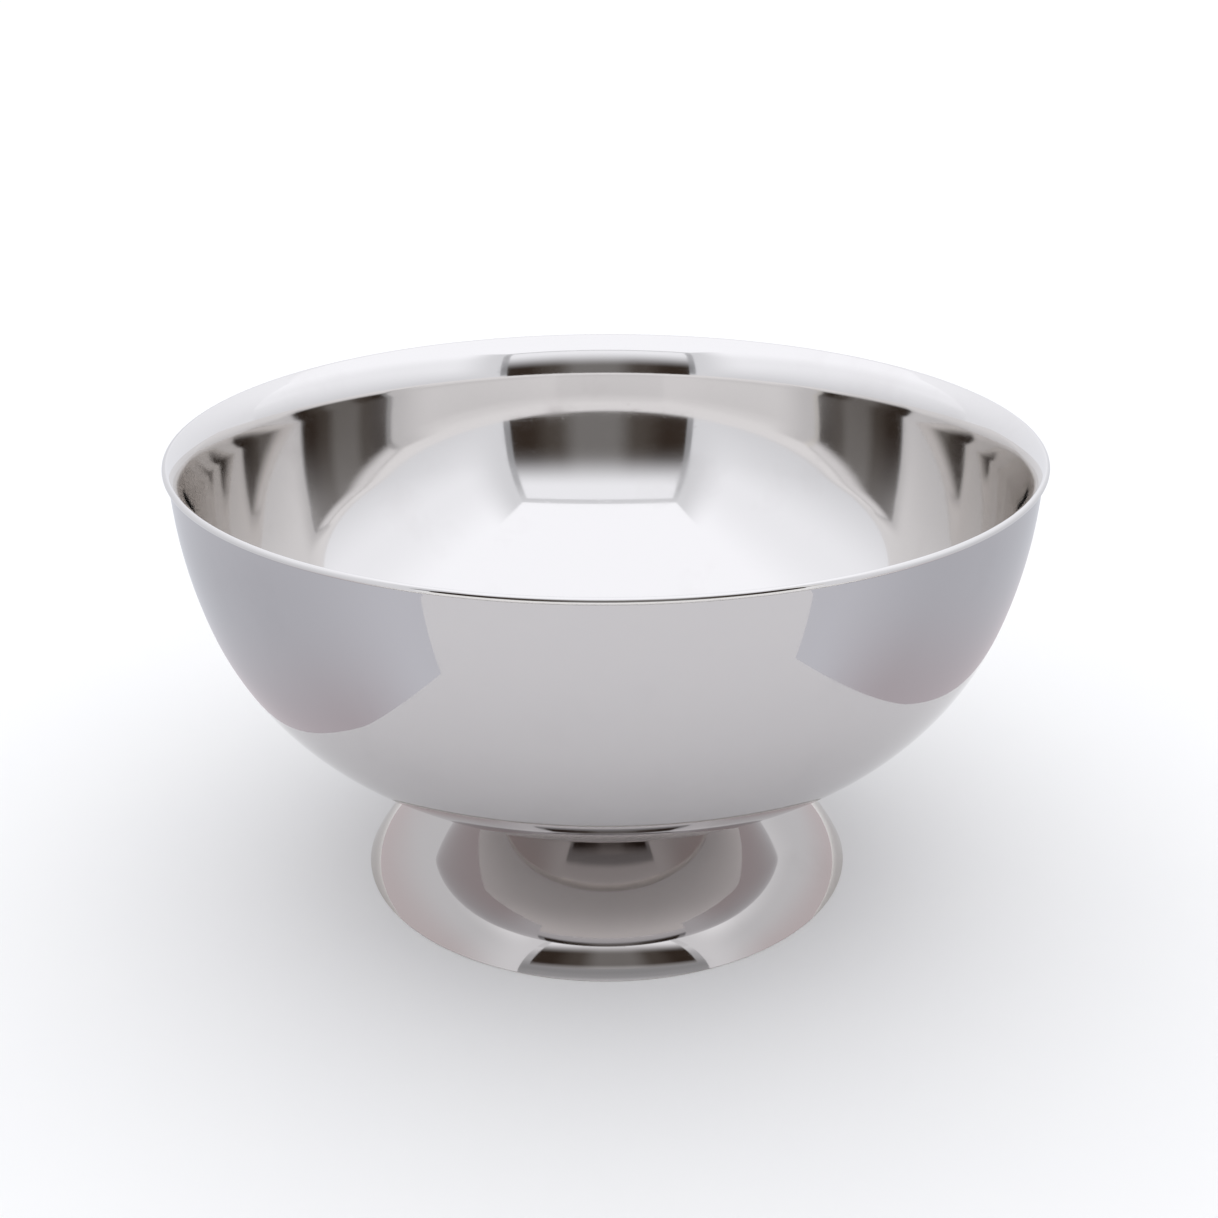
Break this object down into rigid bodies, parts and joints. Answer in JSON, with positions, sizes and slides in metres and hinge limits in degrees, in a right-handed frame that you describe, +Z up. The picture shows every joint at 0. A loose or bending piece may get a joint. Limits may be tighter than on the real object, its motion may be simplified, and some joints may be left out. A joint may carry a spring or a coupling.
{
  "type": "punch bowl",
  "caption": "Large double-walled serving bowl of mirror-polished stainless steel with a rounded rolled lip, on a low flared pedestal held by a stud and nut.",
  "frame": {"origin": "centre of the pedestal's resting ring, on the table", "axes": "+Z up along the bowl's axis, out of its mouth; X and Y are any two directions across, with the lock washer's split on +X"},
  "size_m": [0.38, 0.3798, 0.2071],
  "materials": {
    "liner_steel": "mirror-polished stainless steel, faint fine wiping lines in use",
    "shell_steel": "mirror-polished stainless steel",
    "pedestal_steel": "mirror-polished stainless steel, dull inside",
    "disc_steel": "plain rolled stainless steel, brazed",
    "pad_silicone": "matte translucent grey silicone",
    "stud_steel": "bright turned stainless steel",
    "gasket_rubber": "matte black rubber",
    "washer_steel": "tumbled stainless steel",
    "spring_steel": "tumbled spring steel",
    "nut_steel": "tumbled stainless steel"
  },
  "bodies": {
    "root": {"liner": "liner_steel", "outer_shell": "shell_steel", "pedestal": "pedestal_steel", "anchor_disc": "disc_steel", "spacer_pad": "pad_silicone", "weld_stud": "stud_steel", "neck_gasket": "gasket_rubber", "flat_washer": "washer_steel", "lock_washer": "spring_steel", "hex_nut": "nut_steel"}
  },
  "joints": []
}
